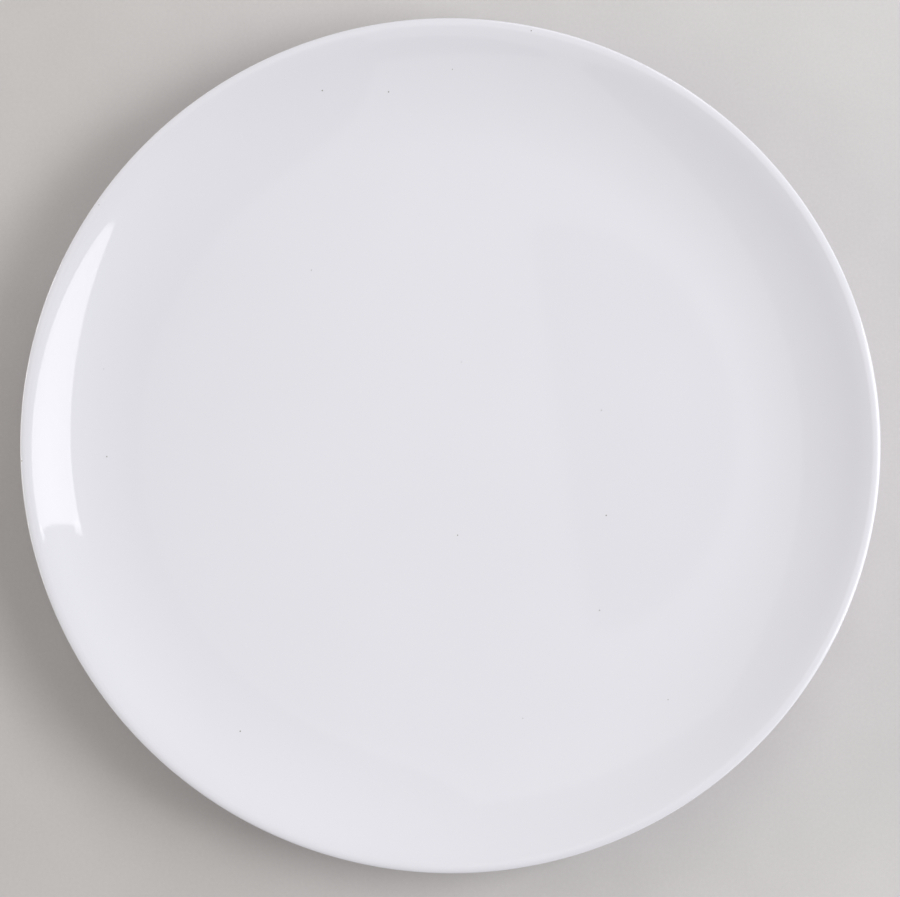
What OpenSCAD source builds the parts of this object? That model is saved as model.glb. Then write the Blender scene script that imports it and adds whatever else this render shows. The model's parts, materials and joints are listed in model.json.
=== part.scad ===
// Chop plate: a round serving plate with no rim, in white glazed stoneware.
// It turns about the Z axis and stands on the bare foot ring at Z = 0. Sizes are in millimetres.

/* [Plate] */
// Diameter over the glazed lip
plate_d = 311; // [290:1:330]
// Thickness through the flat well, glaze included
well_t = 5.8; // [5.4:0.1:8]

/* [Face] */
// Radius of the slow rise round the flat of the well
ease_r = 546; // [400:2:700]
// Slope at the end of the slow rise, in degrees
ease_angle = 2.5; // [2:0.1:3.5]
// Radius of the coupe curve, which turns the face up
coupe_r = 99; // [85:1:110]
// Slope where the coupe curve goes over into the wall, in degrees
coupe_angle = 20.3; // [17:0.1:21]
// Radius of the wall, a slower curve than the coupe
wall_r = 115; // [110:1:130]
// Slope at the top of the wall, the steepest place of the face, in degrees
wall_angle = 24; // [23:0.5:26]
// Straight part at the top of the wall
wall_w = 2.2; // [0.5:0.1:4]

/* [Lip] */
// Radius of the shoulder, which eases the slope towards the lip
shoulder_r = 56; // [40:1:70]
// Slope where the shoulder meets the roll of the lip, in degrees
shoulder_angle = 19.1; // [16:0.1:21]
// Radius of the roll over the crest of the lip
roll_r = 4; // [3.4:0.1:6]
// Outward slope where the roll goes over into the outer edge, in degrees
lip_angle = 22; // [14:1:28]
// Radius of the outer edge of the lip
edge_r = 0.8; // [0.7:0.05:1.6]

/* [Foot ring] */
// Diameter of the foot ring, at the middle of its bearing face
foot_d = 192; // [188:1:200]
// Width of the flat bearing face
bearing_w = 2.6; // [2:0.1:5]
// Radius of the bare edges beside the bearing face
foot_edge_r = 1.2; // [0.8:0.1:1.4]
// Lean of the foot's sides from upright, in degrees
foot_draft = 14; // [12:1:25]
// Radius of the fillets at the root of the foot
fillet_r = 2.2; // [1.5:0.1:2.4]
// Height of the back above the table, just outside the foot
back_h = 4.4; // [4:0.1:4.6]
// Height of the recess inside the foot
recess_h = 3.8; // [3.6:0.1:5]

/* [Glaze] */
// Thickness of the glaze coat
glaze_t = 0.3; // [0.2:0.05:0.4]
// Length of each side of the foot that is wiped bare above its rounded edge
wiped_w = 0.5; // [0.2:0.1:0.6]

/* [Hidden] */
$fn = 180;
// Farthest that a chord of the section lies from its arc
chord_sag = 0.01;

// Height of the glazed well above the table
well_z = recess_h + well_t;
// Radius of the flat of the well, which is what the curves leave of the plate's radius
well_r = plate_d / 2 - edge_r
    - (roll_r - edge_r) * sin(lip_angle)
    - roll_r * sin(shoulder_angle)
    - shoulder_r * (sin(wall_angle) - sin(shoulder_angle))
    - wall_w * cos(wall_angle)
    - wall_r * (sin(wall_angle) - sin(coupe_angle))
    - coupe_r * (sin(coupe_angle) - sin(ease_angle))
    - ease_r * sin(ease_angle);

// Centres of the arcs of the face and the lip, each arc tangent to the one before it
ease_c = [well_r, well_z + ease_r];
coupe_c = ease_c + (ease_r - coupe_r) * below(ease_angle);
wall_c = coupe_c + (coupe_r - wall_r) * below(coupe_angle);
shoulder_c = wall_c + (wall_r + shoulder_r) * below(wall_angle) + wall_w * bearing(wall_angle);
roll_c = shoulder_c - (shoulder_r - roll_r) * below(shoulder_angle);
edge_c = roll_c + (roll_r - edge_r) * bearing(90 - lip_angle);

// The back is one arc, level where it leaves the foot and tangent to the outer edge of the lip
back_start = [fillet_c(1, back_h).x, back_h];
back_span = edge_c - back_start;
back_r = (back_span * back_span - edge_r * edge_r) / (2 * (back_span.y - edge_r));
back_c = back_start + [0, back_r];
back_angle = asin(back_span.x / (back_r - edge_r));

// Unit vector at a bearing, in degrees from the radius towards the axis of the plate
function bearing(a) = [cos(a), sin(a)];

// Unit vector straight down through a face that slopes by a
function below(a) = bearing(a - 90);

// Points of an arc about c after its first point
function arc(c, r, from, to) =
    let (n = max(2, ceil(abs(to - from) / (2 * acos(1 - chord_sag / r)))))
    [for (i = [1:n]) c + r * bearing(from + (to - from) * i / n)];

function reversed(points) = [for (i = [len(points) - 1:-1:0]) points[i]];

// Each side of the foot is 1 for the outer one and -1 for the inner one.
// Centre of the rounded bare edge beside the bearing face
function foot_edge_c(side) = [(foot_d + side * bearing_w) / 2, foot_edge_r];

// Bearing that a side of the foot faces
function foot_facing(side) = -90 + side * (90 - foot_draft);

// Centre of the fillet between a side of the foot and a level surface at height roof
function fillet_c(side, roof) =
    let (
        z = roof - fillet_r,
        lean = (z - foot_edge_r) * sin(foot_draft),
        reach = (fillet_r + foot_edge_r + glaze_t + lean) / cos(foot_draft)
    )
    [foot_edge_c(side).x + side * reach, z];

// Fillet and side of the foot down to where the glaze stops, at a depth below the glazed surface
function foot_side(side, roof, depth) = concat(
    arc(fillet_c(side, roof), fillet_r + depth, 90, 90 + side * (90 - foot_draft)),
    [
        foot_edge_c(side)
        + (foot_edge_r + glaze_t - depth) * bearing(foot_facing(side))
        + wiped_w * [side * sin(foot_draft), cos(foot_draft)]
    ]
);

// Section of the face, lip and back, from the axis to the outer side of the foot
function outside(depth) = concat(
    [[0, well_z - depth], [well_r, well_z - depth]],
    arc(ease_c, ease_r + depth, -90, ease_angle - 90),
    arc(coupe_c, coupe_r + depth, ease_angle - 90, coupe_angle - 90),
    arc(wall_c, wall_r + depth, coupe_angle - 90, wall_angle - 90),
    [shoulder_c - (shoulder_r - depth) * below(wall_angle)],
    arc(shoulder_c, shoulder_r - depth, wall_angle + 90, shoulder_angle + 90),
    arc(roll_c, roll_r - depth, shoulder_angle + 90, 90 - lip_angle),
    arc(edge_c, edge_r - depth, 90 - lip_angle, back_angle - 90),
    arc(back_c, back_r - depth, back_angle - 90, -90),
    foot_side(1, back_h, depth)
);

// Section of the recess, from the inner side of the foot to the axis
function recess(depth) = concat(
    reversed(foot_side(-1, recess_h, depth)),
    [[fillet_c(-1, recess_h).x, recess_h + depth], [0, recess_h + depth]]
);

// Bare clay of the foot: two rounded edges and the flat bearing face between them
function bare_foot() = concat(
    [foot_edge_c(1) + foot_edge_r * bearing(foot_facing(1))],
    arc(foot_edge_c(1), foot_edge_r, foot_facing(1), -90),
    [[foot_edge_c(-1).x, 0]],
    arc(foot_edge_c(-1), foot_edge_r, -90, foot_facing(-1))
);

module turned(section) {
    rotate_extrude()
        polygon(section);
}

// Fired clay: well, wall, lip, back and foot ring in one piece
module clay_body() {
    color("linen")
        turned(concat(outside(glaze_t), bare_foot(), recess(glaze_t)));
}

// Glaze over the face, the lip and the back
module face_glaze() {
    color("ghostwhite")
        turned(concat(outside(0), reversed(outside(glaze_t))));
}

// Glaze inside the foot ring
module recess_glaze() {
    color("ghostwhite")
        turned(concat(recess(0), reversed(recess(glaze_t))));
}

clay_body();
face_glaze();
recess_glaze();
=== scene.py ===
import json
import math
from typing import NamedTuple

import bpy
from bpy.props import FloatProperty, FloatVectorProperty, IntProperty, PointerProperty
from mathutils import Matrix, Vector


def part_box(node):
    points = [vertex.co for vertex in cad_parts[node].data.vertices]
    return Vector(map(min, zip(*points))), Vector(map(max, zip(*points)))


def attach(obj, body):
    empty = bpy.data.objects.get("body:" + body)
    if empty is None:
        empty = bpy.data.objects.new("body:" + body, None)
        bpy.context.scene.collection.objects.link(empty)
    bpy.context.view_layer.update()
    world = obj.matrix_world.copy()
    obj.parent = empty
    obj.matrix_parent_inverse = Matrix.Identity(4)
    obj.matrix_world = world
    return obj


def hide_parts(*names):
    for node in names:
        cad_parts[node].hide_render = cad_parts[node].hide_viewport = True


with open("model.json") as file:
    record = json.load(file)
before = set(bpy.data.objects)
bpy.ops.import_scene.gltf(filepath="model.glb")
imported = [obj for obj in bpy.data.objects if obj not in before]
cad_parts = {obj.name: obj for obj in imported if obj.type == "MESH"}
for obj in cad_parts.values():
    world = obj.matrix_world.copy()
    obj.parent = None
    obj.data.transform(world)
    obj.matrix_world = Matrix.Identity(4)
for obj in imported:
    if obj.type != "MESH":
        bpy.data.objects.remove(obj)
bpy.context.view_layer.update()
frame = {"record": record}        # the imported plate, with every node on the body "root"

bl_info = {
    "name": "Chop Plate",
    "version": (1, 0, 0),
    "blender": (4, 5, 0),
    "location": "3D View > Sidebar > Chop Plate",
    "description": "Turns a glazed coupe chop plate and sets it on a studio floor",
    "category": "Add Mesh",
}

BODY = "root"
MM = 0.001

# Sizes that the frame holds, in metres
MOUNTS = {mount["name"]: Vector(mount["pos_m"]) for mount in frame["record"]["mounts"]}
GLAZE_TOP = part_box("face_glaze")[1]
CLAY_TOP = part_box("clay_body")[1]
RECESS_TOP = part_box("recess_glaze")[1]
COAT = GLAZE_TOP.z - CLAY_TOP.z


def length(name, description, default):
    """Property for a length in metres."""
    return FloatProperty(name=name, description=description, default=default, min=0.0,
                         unit="LENGTH", precision=5)


def angle(name, description, degrees):
    """Property for an angle."""
    return FloatProperty(name=name, description=description, default=math.radians(degrees),
                         subtype="ANGLE")


def colour(name, description, default):
    """Property for a linear colour."""
    return FloatVectorProperty(name=name, description=description, default=default,
                               min=0.0, max=1.0, subtype="COLOR", size=3)


def share(name, description, default):
    """Property for a number from 0 to 1."""
    return FloatProperty(name=name, description=description, default=default,
                         min=0.0, max=1.0, subtype="FACTOR")


class PlateForm(bpy.types.PropertyGroup):
    """Sizes of the plate's section, over the glaze"""

    plate_radius: length("Plate Radius", "From the axis to the outside of the lip", GLAZE_TOP.x)
    well_height: length("Well Height", "Height of the flat of the well", MOUNTS["well"].z)
    ease_radius: length("Ease Radius", "Radius of the slow rise round the well", 546 * MM)
    ease_angle: angle("Ease Angle", "Slope at the end of the slow rise", 2.5)
    coupe_radius: length("Coupe Radius", "Radius of the curve that turns the face up", 99 * MM)
    coupe_angle: angle("Coupe Angle", "Slope where that curve goes over into the wall", 20.3)
    wall_radius: length("Wall Radius", "Radius of the wall, a slower curve", 115 * MM)
    wall_angle: angle("Wall Angle", "Slope at the top of the wall, the steepest place", 24.0)
    wall_width: length("Wall Width", "Straight part at the top of the wall", 2.2 * MM)
    shoulder_radius: length("Shoulder Radius", "Radius that eases the slope to the lip", 56 * MM)
    shoulder_angle: angle("Shoulder Angle", "Slope where the roll of the lip starts", 19.1)
    roll_radius: length("Roll Radius", "Radius of the roll over the crest of the lip", 4.0 * MM)
    lip_angle: angle("Lip Angle", "Outward slope where the roll meets the outer edge", 22.0)
    edge_radius: length("Edge Radius", "Radius of the outer edge of the lip", 0.8 * MM)
    foot_radius: length("Foot Radius", "Radius of the middle of the bearing face",
                        MOUNTS["foot"].x)
    bearing_width: length("Bearing Width", "Width of the flat bearing face", 2.6 * MM)
    foot_edge: length("Foot Edge", "Radius of the bare edges beside the bearing face", 1.2 * MM)
    foot_draft: angle("Foot Draft", "Lean of the foot's sides from upright", 14.0)
    fillet_radius: length("Fillet Radius", "Radius at the root of the foot", 2.2 * MM)
    back_height: length("Back Height", "Height of the back just outside the foot", 4.4 * MM)
    recess_height: length("Recess Height", "Height of the recess in the foot",
                          RECESS_TOP.z - COAT)
    coat: length("Glaze Coat", "Thickness of the glaze", COAT)
    wiped: length("Wiped Width", "Bare length of the foot's side above its edge", 0.5 * MM)
    steps: IntProperty(name="Steps Around", description="Faces round the plate",
                       default=360, min=24)


class GlazeFinish(bpy.types.PropertyGroup):
    """Looks of the white glaze"""

    tone: colour("Glaze Colour", "Colour of a full coat", (0.812, 0.811, 0.874))
    deep_tone: colour("Pooled Colour", "Colour where the coat lies thicker", (0.78, 0.79, 0.84))
    thin_tone: colour("Thin Colour", "Colour where the clay shows through", (0.76, 0.74, 0.73))
    speck_tone: colour("Speck Colour", "Colour of the pin specks", (0.24, 0.22, 0.21))
    roughness: share("Roughness", "Roughness of the fired surface", 0.035)
    speck_spacing: length("Speck Spacing", "Distance between places for a speck", 26 * MM)
    speck_share: share("Speck Share", "Share of those places that hold one", 0.2)
    speck_radius: length("Speck Radius", "Radius of a pin speck", 0.24 * MM)
    ripple_span: length("Ripple Span", "From crest to crest of the glaze's ripple", 14 * MM)
    ripple_height: length("Ripple Height", "Height of the ripple", 0.004 * MM)


class ClayFinish(bpy.types.PropertyGroup):
    """Looks of the bare fired clay"""

    tone: colour("Clay Colour", "Colour of the fired clay", (0.66, 0.60, 0.51))
    rubbed_tone: colour("Rubbed Colour", "Colour of the marks of use", (0.36, 0.34, 0.31))
    grain_tone: colour("Grain Colour", "Colour of the dark grains", (0.30, 0.24, 0.18))
    grain_span: length("Grain Span", "Distance between grains", 0.8 * MM)


class StudioSetup(bpy.types.PropertyGroup):
    """Floor, lights and camera"""

    floor_tone: colour("Floor Colour", "Colour of the floor", (0.655, 0.630, 0.630))
    world_tone: colour("Surround Colour", "Colour of the light from all round",
                       (1.0, 0.985, 0.96))
    world_strength: FloatProperty(name="Surround Strength", min=0.0, default=0.329,
                                  description="Strength of the light from all round")
    warm_tone: colour("Warm Colour", "Colour of the low light on the left", (1.0, 0.97, 0.90))
    camera_tilt: angle("Camera Tilt", "Angle of the camera from straight overhead", 6.5)
    camera_heading: angle("Camera Heading", "Side that the camera leans to, from +X", 258.3)
    camera_distance: length("Camera Distance", "From the middle of the lip to the camera", 1.3)
    camera_slide: FloatVectorProperty(name="Camera Slide", size=2, unit="LENGTH", precision=5,
                                      description="Camera's move to its right and up",
                                      default=(-0.555 * MM, -3.04 * MM))
    camera_lens: FloatProperty(name="Camera Lens", min=1.0, default=143.89, unit="CAMERA",
                               description="Focal length on a frame 36 mm wide")


# Section of the plate: points are radius and height, and angles turn from the radius to the axis
UP = math.pi / 2
DOWN = -math.pi / 2
# Share of the usual coat of glaze that is left at the wiped line
LEAST_COVER = 0.3


def bearing(turn):
    """Unit vector at an angle."""
    return Vector((math.cos(turn), math.sin(turn)))


def below(slope):
    """Unit vector straight down through a face with that slope."""
    return bearing(slope + DOWN)


def arc(centre, radius, start, end, sag):
    """Points of an arc after its first one, with no chord farther than sag from the arc."""
    steps = max(2, math.ceil(abs(end - start) / (2 * math.acos(1 - sag / radius))))
    turns = [start + (end - start) * k / steps for k in range(1, steps + 1)]
    return [centre + radius * bearing(turn) for turn in turns]


class Section:
    """The arcs of the section, each tangent to the one before it."""

    # Farthest that a chord lies from its arc, where it is seen and where it is covered
    FINE = 0.002 * MM
    COARSE = 0.01 * MM
    # Parts that the flat of the well and the flat of the recess are cut into
    WELL_PARTS = 12
    RECESS_PARTS = 8
    # Glaze pools within this many radii of a fillet's centre and gains this share for each radius
    POOL_REACH = 1.25
    POOL_GAIN = 1.4
    # Distance from the wiped line over which the coat gains one usual thickness
    THIN_REACH = 1.6 * MM

    def __init__(self, form):
        self.form = form
        coupe_sine, wall_sine = math.sin(form.coupe_angle), math.sin(form.wall_angle)
        ease_sine, shoulder_sine = math.sin(form.ease_angle), math.sin(form.shoulder_angle)
        edge_shift = form.roll_radius - form.edge_radius
        widths = (
            form.edge_radius,
            edge_shift * math.sin(form.lip_angle),
            form.roll_radius * shoulder_sine,
            form.shoulder_radius * (wall_sine - shoulder_sine),
            form.wall_width * math.cos(form.wall_angle),
            form.wall_radius * (wall_sine - coupe_sine),
            form.coupe_radius * (coupe_sine - ease_sine),
            form.ease_radius * ease_sine,
        )
        self.well_radius = form.plate_radius - sum(widths)

        # Centres of the arcs, from the well to the outer edge of the lip
        self.ease = Vector((self.well_radius, form.well_height + form.ease_radius))
        self.coupe = self.ease + (form.ease_radius - form.coupe_radius) * below(form.ease_angle)
        self.wall = self.coupe + (form.coupe_radius - form.wall_radius) * below(form.coupe_angle)
        self.shoulder = (
            self.wall
            + (form.wall_radius + form.shoulder_radius) * below(form.wall_angle)
            + form.wall_width * bearing(form.wall_angle)
        )
        roll_shift = form.shoulder_radius - form.roll_radius
        self.roll = self.shoulder - roll_shift * below(form.shoulder_angle)
        self.edge = self.roll + edge_shift * bearing(UP - form.lip_angle)

        # The back is one arc, level where it leaves the foot and tangent to the outer edge
        start = Vector((self.fillet(1, form.back_height).x, form.back_height))
        span = self.edge - start
        rise = span.y - form.edge_radius
        self.back_radius = (span.length_squared - form.edge_radius ** 2) / (2 * rise)
        self.back = start + Vector((0, self.back_radius))
        self.back_angle = math.asin(span.x / (self.back_radius - form.edge_radius))

    def foot_edge(self, side):
        """Centre of the bare edge of the foot, on its outer side (1) or inner side (-1)."""
        form = self.form
        return Vector((form.foot_radius + side * form.bearing_width / 2, form.foot_edge))

    def facing(self, side):
        """Angle that a side of the foot faces."""
        return DOWN + side * (UP - self.form.foot_draft)

    def fillet(self, side, roof):
        """Centre of the fillet between a side of the foot and the level surface at roof."""
        form = self.form
        height = roof - form.fillet_radius
        lean = (height - form.foot_edge) * math.sin(form.foot_draft)
        reach = form.fillet_radius + form.foot_edge + form.coat + lean
        return Vector((self.foot_edge(side).x + side * (reach / math.cos(form.foot_draft)), height))

    def stop(self, side, depth):
        """Point on a side of the foot where the glaze stops, at a depth below its surface."""
        form = self.form
        out = bearing(self.facing(side)) * (form.foot_edge + form.coat - depth)
        along = Vector((side * math.sin(form.foot_draft), math.cos(form.foot_draft)))
        return self.foot_edge(side) + out + form.wiped * along

    def foot_side(self, side, roof, depth, sag):
        """Fillet and side of the foot, down to where the glaze stops."""
        form = self.form
        end = UP + side * (UP - form.foot_draft)
        curve = arc(self.fillet(side, roof), form.fillet_radius + depth, UP, end, sag)
        return curve + [self.stop(side, depth)]

    def outside(self, depth, sag):
        """Face, lip and back, from the axis to the outer side of the foot."""
        form = self.form
        level = form.well_height - depth
        parts = self.WELL_PARTS
        points = [Vector((self.well_radius * k / parts, level)) for k in range(parts + 1)]
        for centre, radius, start, end in (
            (self.ease, form.ease_radius, 0.0, form.ease_angle),
            (self.coupe, form.coupe_radius, form.ease_angle, form.coupe_angle),
            (self.wall, form.wall_radius, form.coupe_angle, form.wall_angle),
        ):
            points += arc(centre, radius + depth, start + DOWN, end + DOWN, sag)
        points.append(self.shoulder - (form.shoulder_radius - depth) * below(form.wall_angle))
        shoulder_end = form.shoulder_angle + UP
        roll_end = UP - form.lip_angle
        edge_end = self.back_angle + DOWN
        for centre, radius, start, end in (
            (self.shoulder, form.shoulder_radius, form.wall_angle + UP, shoulder_end),
            (self.roll, form.roll_radius, shoulder_end, roll_end),
            (self.edge, form.edge_radius, roll_end, edge_end),
            (self.back, self.back_radius, edge_end, DOWN),
        ):
            points += arc(centre, radius - depth, start, end, sag)
        return points + self.foot_side(1, form.back_height, depth, sag)

    def recess(self, depth, sag):
        """Recess, from the inner side of the foot to the axis."""
        form = self.form
        level = form.recess_height + depth
        rim = self.fillet(-1, form.recess_height).x
        side = self.foot_side(-1, form.recess_height, depth, sag)
        parts = self.RECESS_PARTS
        flat = [Vector((rim * k / parts, level)) for k in range(parts, -1, -1)]
        return side[::-1] + flat

    def bare_foot(self, sag):
        """Bare clay of the foot: two rounded edges with the flat bearing face between them."""
        form = self.form
        outer, inner = self.foot_edge(1), self.foot_edge(-1)
        return (
            [outer + form.foot_edge * bearing(self.facing(1))]
            + arc(outer, form.foot_edge, self.facing(1), DOWN, sag)
            + [Vector((inner.x, 0.0))]
            + arc(inner, form.foot_edge, DOWN, self.facing(-1), sag)
        )

    def bead(self, side, sag):
        """Rounded end of the glaze at the wiped line, from its outer to its inner surface."""
        outer, inner = self.stop(side, 0.0), self.stop(side, self.form.coat)
        middle = (outer + inner) / 2
        start = math.atan2(outer.y - middle.y, outer.x - middle.x)
        return arc(middle, (outer - inner).length / 2, start, start - side * math.pi, sag)[:-1]

    def cover(self, point):
        """How thick the glaze lies at a point, as a share of the usual coat."""
        form = self.form
        thickness = 1.0
        for side, roof in ((1, form.back_height), (-1, form.recess_height)):
            off_centre = (point - self.fillet(side, roof)).length / form.fillet_radius
            thickness += self.POOL_GAIN * max(0.0, self.POOL_REACH - off_centre)
            from_line = (point - self.stop(side, 0.0)).length
            thickness *= min(1.0, LEAST_COVER + from_line / self.THIN_REACH)
        return thickness


# Turning: a node tree that sweeps a section about the axis
TURNING = "turn_on_the_wheel"
COVER = "cover"
WHOLE_MATH = "FunctionNodeIntegerMath"
# Distance within which points become one, and the least bend that stays a sharp corner
SEAM_GAP = 0.001 * MM
CORNER = math.radians(40)


def feed(tree, socket, value):
    """Links a socket to another, or sets it to a constant."""
    if isinstance(value, bpy.types.NodeSocket):
        tree.links.new(value, socket)
    else:
        socket.default_value = value


def add_node(tree, kind, inputs=None, **settings):
    """New node with those settings and inputs."""
    node = tree.nodes.new(kind)
    for key, value in settings.items():
        setattr(node, key, value)
    for key, value in (inputs or {}).items():
        feed(tree, node.inputs[key], value)
    return node


def math_node(tree, operation, *values, kind="ShaderNodeMath"):
    """Result of a math node fed with those values."""
    return add_node(tree, kind, dict(enumerate(values)), operation=operation).outputs[0]


def at_row(tree, section, row, value, kind):
    """What a value is at the section's point for a row."""
    inputs = {"Geometry": section, "Value": value, "Index": row}
    node = add_node(tree, "GeometryNodeSampleIndex", inputs, data_type=kind, domain="POINT")
    return node.outputs[0]


def turning_tree():
    """Tree that turns a section, a row of points in the XZ plane, into a closed piece."""
    tree = bpy.data.node_groups.new(TURNING, "GeometryNodeTree")
    for name, kind in (
        ("Section", "NodeSocketGeometry"),
        ("Steps Around", "NodeSocketInt"),
        ("Material", "NodeSocketMaterial"),
    ):
        tree.interface.new_socket(name, in_out="INPUT", socket_type=kind)
    tree.interface.new_socket("Piece", in_out="OUTPUT", socket_type="NodeSocketGeometry")
    given = add_node(tree, "NodeGroupInput").outputs
    section, around = given["Section"], given["Steps Around"]

    # A grid with one row for each point of the section and one column for each step around
    count = add_node(tree, "GeometryNodeAttributeDomainSize", {"Geometry": section},
                     component="MESH")
    columns = math_node(tree, "ADD", around, 1, kind=WHOLE_MATH)
    grid = add_node(tree, "GeometryNodeMeshGrid",
                    {"Vertices X": count.outputs["Point Count"], "Vertices Y": columns})
    index = add_node(tree, "GeometryNodeInputIndex").outputs[0]
    row = math_node(tree, "DIVIDE_FLOOR", index, columns, kind=WHOLE_MATH)
    column = math_node(tree, "MODULO", index, columns, kind=WHOLE_MATH)
    turn = math_node(tree, "MULTIPLY", math_node(tree, "DIVIDE", column, around), math.tau)

    # Place of each point: its point of the section, turned about the axis
    position = add_node(tree, "GeometryNodeInputPosition").outputs[0]
    point = at_row(tree, section, row, position, "FLOAT_VECTOR")
    turned = add_node(tree, "ShaderNodeVectorRotate", {"Vector": point, "Angle": turn},
                      rotation_type="Z_AXIS")
    placed = add_node(tree, "GeometryNodeSetPosition",
                      {"Geometry": grid.outputs["Mesh"], "Position": turned.outputs[0]})

    # The share of glaze at each point of the section goes with the piece
    cover = add_node(tree, "GeometryNodeInputNamedAttribute", {"Name": COVER},
                     data_type="FLOAT").outputs["Attribute"]
    stored = add_node(tree, "GeometryNodeStoreNamedAttribute", {
        "Geometry": placed.outputs[0],
        "Name": COVER,
        "Value": at_row(tree, section, row, cover, "FLOAT"),
    }, data_type="FLOAT", domain="POINT")

    # Seam and poles closed, and smooth but for real corners
    closed = add_node(tree, "GeometryNodeMergeByDistance",
                      {"Geometry": stored.outputs[0], "Distance": SEAM_GAP})
    smooth = add_node(tree, "GeometryNodeSetShadeSmooth", {"Geometry": closed.outputs[0]},
                      domain="FACE")
    bend = add_node(tree, "GeometryNodeInputMeshEdgeAngle").outputs["Unsigned Angle"]
    corner = add_node(tree, "FunctionNodeCompare", {"A": bend, "B": CORNER},
                      data_type="FLOAT", operation="GREATER_THAN")
    sharp = add_node(tree, "GeometryNodeSetShadeSmooth", {
        "Geometry": smooth.outputs[0],
        "Selection": corner.outputs[0],
        "Shade Smooth": False,
    }, domain="EDGE")
    real = add_node(tree, "GeometryNodeRealizeInstances", {"Geometry": sharp.outputs[0]})
    finished = add_node(tree, "GeometryNodeSetMaterial",
                        {"Geometry": real.outputs[0], "Material": given["Material"]})
    add_node(tree, "NodeGroupOutput", {"Piece": finished.outputs[0]})
    return tree


def turn_piece(context, name, node, points, covers, material):
    """Turns a section into a piece that stands for a CAD node."""
    mesh = bpy.data.meshes.new(name + "_section")
    links = [(k, k + 1) for k in range(len(points) - 1)]
    mesh.from_pydata([(p.x, 0.0, p.y) for p in points], links, [])
    mesh.attributes.new(COVER, "FLOAT", "POINT").data.foreach_set("value", covers)
    piece = bpy.data.objects.new(name, mesh)
    context.collection.objects.link(piece)

    tree = bpy.data.node_groups.get(TURNING) or turning_tree()
    turning = piece.modifiers.new("Turning", "NODES")
    turning.node_group = tree
    inputs = {"Steps Around": context.scene.plate_form.steps, "Material": material}
    for socket in tree.interface.items_tree:
        if socket.name in inputs:
            turning[socket.identifier] = inputs[socket.name]
    turned = piece.evaluated_get(context.evaluated_depsgraph_get())
    shape = bpy.data.meshes.new_from_object(turned)
    piece.modifiers.remove(turning)
    piece.data = shape
    shape.name = name
    shape.materials.clear()
    shape.materials.append(material)
    shape.polygons.foreach_set("material_index", [0] * len(shape.polygons))
    bpy.data.meshes.remove(mesh)
    if not shape.polygons:
        raise RuntimeError(name + " came out empty")
    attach(piece, BODY)
    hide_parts(node)


# Materials
class Patches(NamedTuple):
    """Noise in patches about span across, with the two of its values between which they fade"""

    span: float
    detail: float
    low: float
    high: float


# Glaze: its faint clouds, the wear of its gloss and its ripple
GLAZE_MATERIAL = "glossy_white_glaze"
GLAZE_IOR = 1.5
GLAZE_CLOUD = Patches(span=70 * MM, detail=2.0, low=0.3, high=0.7)
GLAZE_CLOUD_SHADE = (0.99, 0.99, 0.99)
GLAZE_WEAR = Patches(span=9 * MM, detail=4.0, low=0.3, high=0.8)
GLAZE_WEAR_SHARES = (0.8, 1.3)
RIPPLE_DETAIL = 1.0
# Cover at which the pooled colour is reached, and how far the thin colour shows at the least cover
POOLED_COVER = 1.4
THIN_MIX = 0.8
# Size of a speck as a share of the speck radius, and where its edge begins and ends in its own size
SPECK_LEAST, SPECK_SPREAD = 0.5, 0.6
SPECK_INSIDE, SPECK_OUTSIDE = 0.6, 1.2

# Clay: its clouds, its dark grains, the marks on its lowest part and its rough surface
CLAY_CLOUD = Patches(span=6 * MM, detail=2.0, low=0.3, high=0.7)
CLAY_CLOUD_SHADE = (0.9, 0.9, 0.9)
GRAIN_INSIDE, GRAIN_OUTSIDE, GRAIN_MIX = 0.1, 0.2, 0.7
RUBBED = Patches(span=3 * MM, detail=6.0, low=0.45, high=0.65)
RUBBED_MIX = (0.1, 0.8)
RUBBED_FULL, RUBBED_END = 0.02 * MM, 0.3 * MM
CLAY_ROUGHNESS, RUBBED_ROUGHNESS = 0.9, 0.6
TOOTH_SPAN, TOOTH_DETAIL, TOOTH_HEIGHT = 0.5 * MM, 3.0, 0.03 * MM

# Floor: half its width, its dull surface, its painted light falloff from dark and warm to pale and
# cool, its mottle and its grain
FLOOR_HALF = 3.0
FLOOR_ROUGHNESS, FLOOR_SPECULAR = 0.95, 0.1
# Painted light falloff on the floor: the way it grows paler, its reach, and the painted shade and
# painted light ends of its colour
FLOOR_PAINTED_LIGHT_WAY = math.radians(18)
FLOOR_PAINTED_LIGHT_REACH = 0.3
FLOOR_PAINTED_SHADE_END, FLOOR_PAINTED_LIGHT_END = (0.87, 0.87, 0.858), (1.112, 1.125, 1.145)
FLOOR_MOTTLE = Patches(span=30 * MM, detail=4.0, low=0.3, high=0.7)
FLOOR_GRAIN = Patches(span=1.2 * MM, detail=3.0, low=0.25, high=0.75)
FLOOR_MOTTLE_MIX, FLOOR_GRAIN_MIX = 0.025, 0.03


def new_material(name):
    """Empty material with its node tree, its shader's inputs and object coordinates."""
    material = bpy.data.materials.new(name)
    material.use_nodes = True
    tree = material.node_tree
    tree.nodes.clear()
    shader = add_node(tree, "ShaderNodeBsdfPrincipled")
    add_node(tree, "ShaderNodeOutputMaterial", {"Surface": shader.outputs[0]})
    place = add_node(tree, "ShaderNodeTexCoord").outputs["Object"]
    return material, tree, shader.inputs, place


def opaque(tone):
    """Colour with full alpha."""
    return (*tone, 1.0)


def shaded(tone, shades):
    """Colour with each of its parts taken by a share."""
    return opaque([part * shade for part, shade in zip(tone, shades)])


def noise(tree, place, span, detail):
    """Noise with features about span apart, from 0 to 1."""
    inputs = {"Vector": place, "Scale": 1.0 / span, "Detail": detail}
    return add_node(tree, "ShaderNodeTexNoise", inputs, noise_dimensions="3D").outputs["Fac"]


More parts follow.
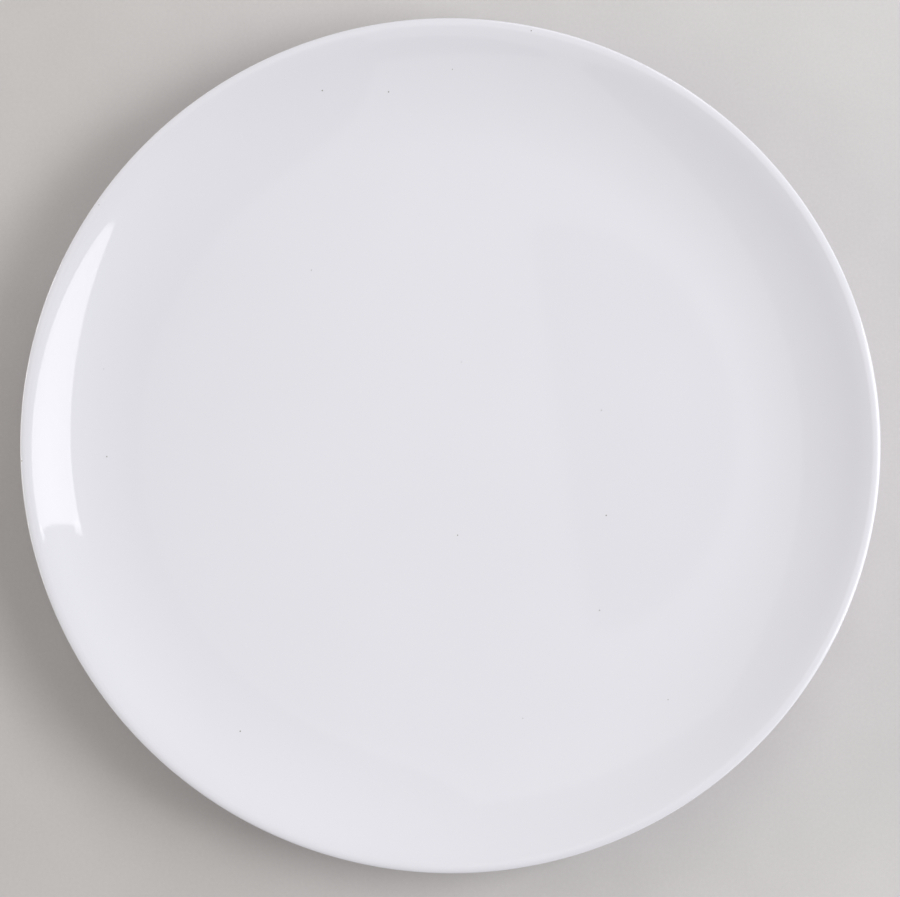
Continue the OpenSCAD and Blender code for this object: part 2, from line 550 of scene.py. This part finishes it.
def ramp(tree, value, low, high, start=0.0, end=1.0):
    """Smooth change from start to end as value goes from low to high."""
    inputs = {"Value": value, "From Min": low, "From Max": high, "To Min": start, "To Max": end}
    return add_node(tree, "ShaderNodeMapRange", inputs,
                    interpolation_type="SMOOTHSTEP").outputs[0]


def patchy(tree, place, patches, start=0.0, end=1.0):
    """Smooth change from start to end over patches of noise."""
    value = noise(tree, place, patches.span, patches.detail)
    return ramp(tree, value, patches.low, patches.high, start, end)


def mix(tree, amount, first, second):
    """Mix of two colours."""
    inputs = {"Factor": amount, "A": first, "B": second}
    return add_node(tree, "ShaderNodeMix", inputs, data_type="RGBA").outputs["Result"]


def bump(tree, height, distance):
    """Normal of a surface that rises and falls by distance."""
    inputs = {"Strength": 1.0, "Distance": distance, "Height": height}
    return add_node(tree, "ShaderNodeBump", inputs).outputs["Normal"]


def specks(tree, place, spacing, chance, radius):
    """1 on round specks strewn over a plan view, 0 between them."""
    cells = add_node(tree, "ShaderNodeTexVoronoi", {"Vector": place, "Scale": 1.0 / spacing},
                     voronoi_dimensions="2D", feature="F1").outputs
    draws = add_node(tree, "ShaderNodeSeparateColor", {"Color": cells["Color"]}).outputs
    chosen = math_node(tree, "LESS_THAN", draws[0], chance)
    size = math_node(tree, "MULTIPLY_ADD", draws[1],
                     SPECK_SPREAD * radius / spacing, SPECK_LEAST * radius / spacing)
    off_centre = math_node(tree, "DIVIDE", cells["Distance"], size)
    speck = ramp(tree, off_centre, SPECK_INSIDE, SPECK_OUTSIDE, 1.0, 0.0)
    return math_node(tree, "MULTIPLY", speck, chosen)


def white_glaze(finish):
    """Glossy white glaze: cool where full, duller where it lies thin, with a few pin specks."""
    material = bpy.data.materials.get(GLAZE_MATERIAL)
    if material:
        return material
    material, tree, shader, place = new_material(GLAZE_MATERIAL)
    cover = add_node(tree, "ShaderNodeAttribute", attribute_name=COVER).outputs["Fac"]
    full = mix(tree, patchy(tree, place, GLAZE_CLOUD),
               opaque(finish.tone), shaded(finish.tone, GLAZE_CLOUD_SHADE))
    pooled = mix(tree, ramp(tree, cover, 1.0, POOLED_COVER), full, opaque(finish.deep_tone))
    coat = mix(tree, ramp(tree, cover, LEAST_COVER, 1.0, THIN_MIX, 0.0),
               pooled, opaque(finish.thin_tone))
    pins = specks(tree, place, finish.speck_spacing, finish.speck_share, finish.speck_radius)
    feed(tree, shader["Base Color"], mix(tree, pins, coat, opaque(finish.speck_tone)))
    roughness = [finish.roughness * wear for wear in GLAZE_WEAR_SHARES]
    feed(tree, shader["Roughness"], patchy(tree, place, GLAZE_WEAR, *roughness))
    feed(tree, shader["IOR"], GLAZE_IOR)
    ripple = noise(tree, place, finish.ripple_span, RIPPLE_DETAIL)
    feed(tree, shader["Normal"], bump(tree, ripple, finish.ripple_height))
    return material


def fired_clay(finish):
    """Bare fired clay of the foot: matt and fine-grained, rubbed grey where it stands."""
    material, tree, shader, place = new_material("bare_fired_clay")
    tone = mix(tree, patchy(tree, place, CLAY_CLOUD),
               opaque(finish.tone), shaded(finish.tone, CLAY_CLOUD_SHADE))
    cells = add_node(tree, "ShaderNodeTexVoronoi",
                     {"Vector": place, "Scale": 1.0 / finish.grain_span}, feature="F1").outputs
    grains = ramp(tree, cells["Distance"], GRAIN_INSIDE, GRAIN_OUTSIDE, GRAIN_MIX, 0.0)
    grained = mix(tree, grains, tone, opaque(finish.grain_tone))
    height = add_node(tree, "ShaderNodeSeparateXYZ", {"Vector": place}).outputs["Z"]
    low = ramp(tree, height, RUBBED_FULL, RUBBED_END, 1.0, 0.0)
    rubbed = math_node(tree, "MULTIPLY", low, patchy(tree, place, RUBBED, *RUBBED_MIX))
    feed(tree, shader["Base Color"], mix(tree, rubbed, grained, opaque(finish.rubbed_tone)))
    feed(tree, shader["Roughness"],
         ramp(tree, rubbed, 0.0, 1.0, CLAY_ROUGHNESS, RUBBED_ROUGHNESS))
    tooth = noise(tree, place, TOOTH_SPAN, TOOTH_DETAIL)
    feed(tree, shader["Normal"], bump(tree, tooth, TOOTH_HEIGHT))
    return material


def floor_board(tone):
    """Plain pale floor with a faint mottle, paler to the right: a painted light falloff, with
    painted shade to the left.
    """
    material, tree, shader, place = new_material("floor_board")
    # Painted light falloff: the floor's colour goes from painted shade on the left to painted light
    # on the right
    along = add_node(tree, "ShaderNodeVectorMath",
                     {0: place, 1: bearing(FLOOR_PAINTED_LIGHT_WAY).to_3d()}, operation="DOT_PRODUCT")
    painted_light = ramp(tree, along.outputs["Value"], -FLOOR_PAINTED_LIGHT_REACH, FLOOR_PAINTED_LIGHT_REACH)
    ground = mix(tree, painted_light, shaded(tone, FLOOR_PAINTED_SHADE_END), shaded(tone, FLOOR_PAINTED_LIGHT_END))
    mottle = patchy(tree, place, FLOOR_MOTTLE, 0.0, FLOOR_MOTTLE_MIX)
    grain = patchy(tree, place, FLOOR_GRAIN, 0.0, FLOOR_GRAIN_MIX)
    darker = math_node(tree, "ADD", mottle, grain)
    feed(tree, shader["Base Color"], mix(tree, darker, ground, opaque((0.0, 0.0, 0.0))))
    feed(tree, shader["Roughness"], FLOOR_ROUGHNESS)
    feed(tree, shader["Specular IOR Level"], FLOOR_SPECULAR)
    return material


# Studio: floor, lights and camera
class SoftLight(NamedTuple):
    """A rectangular soft light that faces the plate, in degrees and metres

    Its width is level, and square to its heading but for the skew. Its glow is its power in
    watts, divided by pi and by its area.
    """

    name: str
    zenith: float
    heading: float
    distance: float
    width: float
    height: float
    glow: float
    skew: float = 0.0
    warm: bool = False


LIGHTS = (
    SoftLight("right_window", zenith=42.3, heading=-2.5, distance=2.865,
              width=1.6, height=0.9, glow=3.25, skew=11.65),
    SoftLight("window_corner", zenith=34.8, heading=24.0, distance=2.896,
              width=0.05, height=0.12, glow=3.25, skew=-14.9),
    SoftLight("right_key", zenith=57.0, heading=0.6, distance=3.0,
              width=2.0, height=0.7, glow=9.0),
    SoftLight("near_right_key", zenith=57.0, heading=-30.0, distance=1.0,
              width=0.5, height=0.23, glow=0.84),
    SoftLight("far_right_fill", zenith=65.0, heading=69.2, distance=3.0,
              width=1.47, height=1.21, glow=2.34),
    SoftLight("far_right_card", zenith=67.0, heading=46.0, distance=3.0,
              width=1.8, height=1.2, glow=1.46),
    SoftLight("left_fill", zenith=76.0, heading=172.5, distance=1.5,
              width=1.275, height=0.39, glow=6.55, warm=True),
    SoftLight("near_fill", zenith=76.0, heading=290.0, distance=2.0,
              width=1.2, height=0.52, glow=1.52),
    SoftLight("overhead_fill", zenith=6.2, heading=188.2, distance=3.0,
              width=3.46, height=1.16, glow=0.43),
)
WHITE = (1.0, 1.0, 1.0)
FRAME_WIDTH_MM = 36.0
PICTURE_UP = Vector((0.0, 1.0, 0.0))


def direction(zenith, heading):
    """Unit vector at an angle from straight up and a heading round from +X."""
    level = bearing(heading) * math.sin(zenith)
    return Vector((level.x, level.y, math.cos(zenith)))


def set_up(context, thing, place, right, back):
    """Puts a light or a camera at a place, with its right side and its back to those sides."""
    context.collection.objects.link(thing)
    turn = Matrix((right, back.cross(right), back)).transposed().to_4x4()
    thing.matrix_world = Matrix.Translation(place) @ turn


def lay_floor(context, setup):
    """Flat floor under the foot ring."""
    half = FLOOR_HALF
    mesh = bpy.data.meshes.new("floor")
    corners = [(-half, -half, 0.0), (half, -half, 0.0), (half, half, 0.0), (-half, half, 0.0)]
    mesh.from_pydata(corners, [], [(0, 1, 2, 3)])
    mesh.materials.append(floor_board(setup.floor_tone))
    floor = bpy.data.objects.new("floor", mesh)
    context.collection.objects.link(floor)


def set_light(context, light, tone):
    """One soft light of the table."""
    data = bpy.data.lights.new(light.name, "AREA")
    data.shape = "RECTANGLE"
    data.size, data.size_y = light.width, light.height
    data.energy = light.glow * math.pi * light.width * light.height
    data.color = tone
    lamp = bpy.data.objects.new(light.name, data)
    lamp.visible_camera = False
    zenith, heading, skew = map(math.radians, (light.zenith, light.heading, light.skew))
    place = light.distance * direction(zenith, heading)
    across = bearing(heading + math.pi / 2 + skew).to_3d()
    away = (place - across * place.dot(across)).normalized()
    set_up(context, lamp, place, across, away)


def set_lights(context, setup):
    """Soft lights round the plate and a pale surround."""
    world = bpy.data.worlds.new("surround")
    context.scene.world = world
    world.use_nodes = True
    surround = world.node_tree.nodes["Background"].inputs
    surround["Color"].default_value = opaque(setup.world_tone)
    surround["Strength"].default_value = setup.world_strength
    for light in LIGHTS:
        set_light(context, light, setup.warm_tone if light.warm else WHITE)


def set_camera(context, setup):
    """Camera almost overhead, aimed so that the plate sits as it does in the picture."""
    data = bpy.data.cameras.new("camera")
    data.sensor_width = FRAME_WIDTH_MM
    data.lens = setup.camera_lens
    camera = bpy.data.objects.new("camera", data)
    back = direction(setup.camera_tilt, setup.camera_heading)
    right = PICTURE_UP.cross(back).normalized()
    up = back.cross(right)
    lip = Vector((0.0, 0.0, Section(context.scene.plate_form).edge.y))
    slide = right * setup.camera_slide[0] + up * setup.camera_slide[1]
    set_up(context, camera, lip + back * setup.camera_distance + slide, right, back)
    context.scene.camera = camera


# Operators and panel
class CHOPPLATE_OT_clay_body(bpy.types.Operator):
    """Turn the fired clay body, which shows bare on the foot ring"""

    bl_idname = "chop_plate.clay_body"
    bl_label = "Clay Body"

    def execute(self, context):
        section = Section(context.scene.plate_form)
        coat = context.scene.plate_form.coat
        points = (
            section.outside(coat, section.COARSE)
            + section.bare_foot(section.FINE)
            + section.recess(coat, section.COARSE)
        )
        covers = [0.0] * len(points)
        material = fired_clay(context.scene.clay_finish)
        turn_piece(context, "clay_foot_and_body", "clay_body",
                   points, covers, material)
        return {"FINISHED"}


class CHOPPLATE_OT_face_glaze(bpy.types.Operator):
    """Turn the coat of glaze over the face, the lip and the back"""

    bl_idname = "chop_plate.face_glaze"
    bl_label = "Face Glaze"

    def execute(self, context):
        section = Section(context.scene.plate_form)
        skin = section.outside(0.0, section.FINE) + section.bead(1, section.FINE)
        under = section.outside(context.scene.plate_form.coat, section.COARSE)[::-1]
        covers = [section.cover(point) for point in skin] + [0.0] * len(under)
        material = white_glaze(context.scene.glaze_finish)
        turn_piece(context, "face_glaze_coat", "face_glaze",
                   skin + under, covers, material)
        return {"FINISHED"}


class CHOPPLATE_OT_recess_glaze(bpy.types.Operator):
    """Turn the patch of glaze inside the foot ring"""

    bl_idname = "chop_plate.recess_glaze"
    bl_label = "Recess Glaze"

    def execute(self, context):
        section = Section(context.scene.plate_form)
        skin = section.bead(-1, section.FINE)[::-1] + section.recess(0.0, section.FINE)
        under = section.recess(context.scene.plate_form.coat, section.COARSE)[::-1]
        covers = [0.0] * len(under) + [section.cover(point) for point in skin]
        material = white_glaze(context.scene.glaze_finish)
        turn_piece(context, "recess_glaze_coat", "recess_glaze",
                   under + skin, covers, material)
        return {"FINISHED"}


class CHOPPLATE_OT_studio(bpy.types.Operator):
    """Set the floor, the lights and the camera"""

    bl_idname = "chop_plate.studio"
    bl_label = "Studio"

    def execute(self, context):
        setup = context.scene.studio_setup
        lay_floor(context, setup)
        set_lights(context, setup)
        set_camera(context, setup)
        context.scene.view_settings.view_transform = "Standard"
        return {"FINISHED"}


class CHOPPLATE_PT_sidebar(bpy.types.Panel):
    """Sizes, finishes and pieces of the plate"""

    bl_idname = "CHOPPLATE_PT_sidebar"
    bl_label = "Chop Plate"
    bl_space_type = "VIEW_3D"
    bl_region_type = "UI"
    bl_category = "Chop Plate"

    def draw(self, context):
        for name in GROUPS:
            group = getattr(context.scene, name)
            box = self.layout.box()
            for setting in group.__annotations__:
                box.prop(group, setting)
        for operator in OPERATORS:
            self.layout.operator(operator.bl_idname)


GROUPS = {
    "plate_form": PlateForm,
    "glaze_finish": GlazeFinish,
    "clay_finish": ClayFinish,
    "studio_setup": StudioSetup,
}
OPERATORS = (
    CHOPPLATE_OT_clay_body,
    CHOPPLATE_OT_face_glaze,
    CHOPPLATE_OT_recess_glaze,
    CHOPPLATE_OT_studio,
)
CLASSES = (*GROUPS.values(), *OPERATORS, CHOPPLATE_PT_sidebar)


def register():
    """Registers the groups, the operators and the panel."""
    for kind in CLASSES:
        bpy.utils.register_class(kind)
    for name, kind in GROUPS.items():
        setattr(bpy.types.Scene, name, PointerProperty(type=kind))


def unregister():
    """Takes back what register did."""
    for name in GROUPS:
        delattr(bpy.types.Scene, name)
    for kind in reversed(CLASSES):
        bpy.utils.unregister_class(kind)


def main():
    """Builds the plate and the studio."""
    register()
    bpy.ops.chop_plate.clay_body()
    bpy.ops.chop_plate.face_glaze()
    bpy.ops.chop_plate.recess_glaze()
    bpy.ops.chop_plate.studio()


if __name__ == "__main__":
    main()
